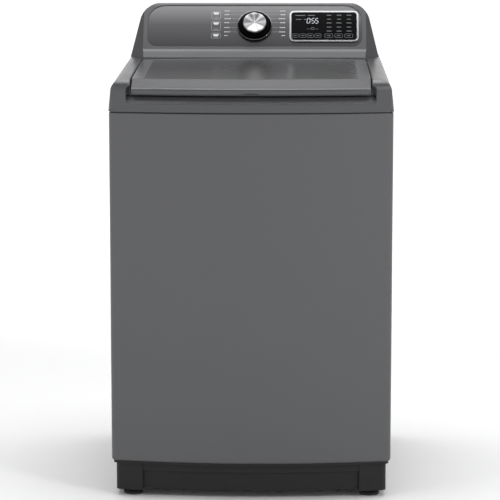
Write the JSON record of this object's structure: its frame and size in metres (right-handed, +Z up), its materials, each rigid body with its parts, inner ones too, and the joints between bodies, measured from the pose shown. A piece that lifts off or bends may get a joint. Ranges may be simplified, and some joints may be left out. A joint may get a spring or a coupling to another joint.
{
  "type": "washing machine",
  "caption": "Free-standing top load washing machine with bowed front, windowed lid, leaning console with dial and display, and a hung tub with basket and impeller.",
  "frame": {"origin": "on the floor under the middle of the machine", "axes": "+X to the right as seen from the front, +Y to the back, +Z up"},
  "size_m": [0.6884, 0.732, 1.1865],
  "materials": {
    "graphite_paint": "satin graphite metallic paint on sheet steel",
    "cover_paint": "satin graphite metallic paint on moulded plastic",
    "console_shell": "satin graphite metallic paint on moulded plastic",
    "fascia_silver": "graphite metallic film, darker towards its foot",
    "zinc_sheet": "zinc coated sheet",
    "base_plastic": "dark moulded plastic",
    "black_plastic": "moulded plastic",
    "knob_black": "black gloss",
    "bright_chrome": "spun and polished",
    "display_black": "black glass",
    "smoked_glass": "tinted toughened glass",
    "steel": "plain steel",
    "stainless": "stainless sheet",
    "cast_alloy": "die cast",
    "tub_plastic": "light grey moulded plastic",
    "wash_plastic": "grey moulded plastic",
    "motor_paint": "dark enamel",
    "pump_plastic": "white moulded plastic",
    "circuit_green": "circuit board",
    "rubber_black": "rubber"
  },
  "bodies": {
    "cabinet": {"base_frame": "base_plastic", "cabinet_wrapper": "graphite_paint", "rear_panel": "zinc_sheet", "rear_access_cover": "zinc_sheet", "cabinet_screws": "steel", "suspension_rails": "zinc_sheet", "suspension_rods": "steel", "top_cover": "cover_paint", "console_housing": "console_shell", "console_rear_cover": "black_plastic", "control_fascia": "fascia_silver", "display_bezel": "bright_chrome", "display_window": "display_black", "circuit_boards": "circuit_green", "rotary_encoder": "black_plastic", "hinge_dampers": "black_plastic", "lid_lock_housing": "black_plastic", "drain_outlet": "black_plastic", "inlet_valve": "pump_plastic", "inlet_hose": "black_plastic", "dispenser_housing": "black_plastic", "cord_gland": "black_plastic", "front_left_foot": "rubber_black", "front_right_foot": "rubber_black", "rear_left_foot": "rubber_black", "rear_right_foot": "rubber_black"},
    "tub": {"outer_tub": "tub_plastic", "tub_cover": "tub_plastic", "tub_seal": "rubber_black", "shaft_bearings": "steel", "bearing_housing": "cast_alloy", "motor_body": "motor_paint", "drive_belt": "rubber_black", "drain_pump": "pump_plastic", "drain_hose": "black_plastic", "suspension_springs": "steel"},
    "basket": {"basket": "stainless", "balance_ring": "tub_plastic", "basket_hub": "cast_alloy", "spin_shaft": "steel"},
    "clutch": {"clutch_sleeve": "steel"},
    "impeller": {"impeller": "wash_plastic", "impeller_cap": "wash_plastic", "agitator_shaft": "steel", "drive_pulley": "cast_alloy"},
    "motor_rotor": {"motor_pulley": "steel"},
    "pump_rotor": {"pump_impeller": "pump_plastic"},
    "lid": {"lid_frame": "cover_paint", "lid_handle": "cover_paint", "lid_glass": "smoked_glass", "lid_liner": "black_plastic", "lid_hinge_pins": "steel", "lid_bumpers": "rubber_black", "lid_strike": "steel"},
    "knob": {"knob_skirt": "knob_black", "knob_cap": "bright_chrome", "knob_shaft": "steel"},
    "drawer": {"dispenser_drawer": "wash_plastic"},
    "bolt": {"lock_bolt": "steel"}
  },
  "joints": [
    {"name": "lid_hinge", "type": "hinge", "parent": "cabinet", "child": "lid", "pos_m": [0, 0.097, 1.037], "axis": [-1, 0, 0], "range_deg": [0, 100]},
    {"name": "knob_turn", "type": "hinge", "parent": "cabinet", "child": "knob", "pos_m": [0, 0.18191, 1.12881], "axis": [0, -0.809, 0.5878], "continuous": true},
    {"name": "drawer_slide", "type": "slide", "parent": "cabinet", "child": "drawer", "axis": [0, -1, 0], "range_m": [0, 0.13]},
    {"name": "lock_slide", "type": "slide", "parent": "cabinet", "child": "bolt", "axis": [-1, 0, 0], "range_m": [0, 0.01]},
    {"name": "tub_float", "type": "slide", "parent": "cabinet", "child": "tub", "axis": [0, 0, 1], "range_m": [-0.05, 0.01], "stiffness_N_per_m": 12000, "springref_m": 0.0275, "deforming": ["suspension_springs", "drain_hose"]},
    {"name": "basket_spin", "type": "hinge", "parent": "tub", "child": "basket", "pos_m": [0, -0.055, 0.3], "axis": [0, 0, 1], "continuous": true},
    {"name": "impeller_spin", "type": "hinge", "parent": "tub", "child": "impeller", "pos_m": [0, -0.055, 0.3], "axis": [0, 0, 1], "continuous": true},
    {"name": "motor_spin", "type": "hinge", "parent": "tub", "child": "motor_rotor", "pos_m": [0.132, 0.077, 0.17], "axis": [0, 0, 1], "continuous": true},
    {"name": "clutch_slide", "type": "slide", "parent": "basket", "child": "clutch", "axis": [0, 0, 1], "range_m": [0, 0.006]},
    {"name": "pump_spin", "type": "hinge", "parent": "tub", "child": "pump_rotor", "pos_m": [-0.15, 0.05, 0.26], "axis": [0, 0, 1], "continuous": true}
  ],
  "couplings": [
    {"joint": "motor_spin", "follows": "impeller_spin", "ratio": 4}
  ]
}
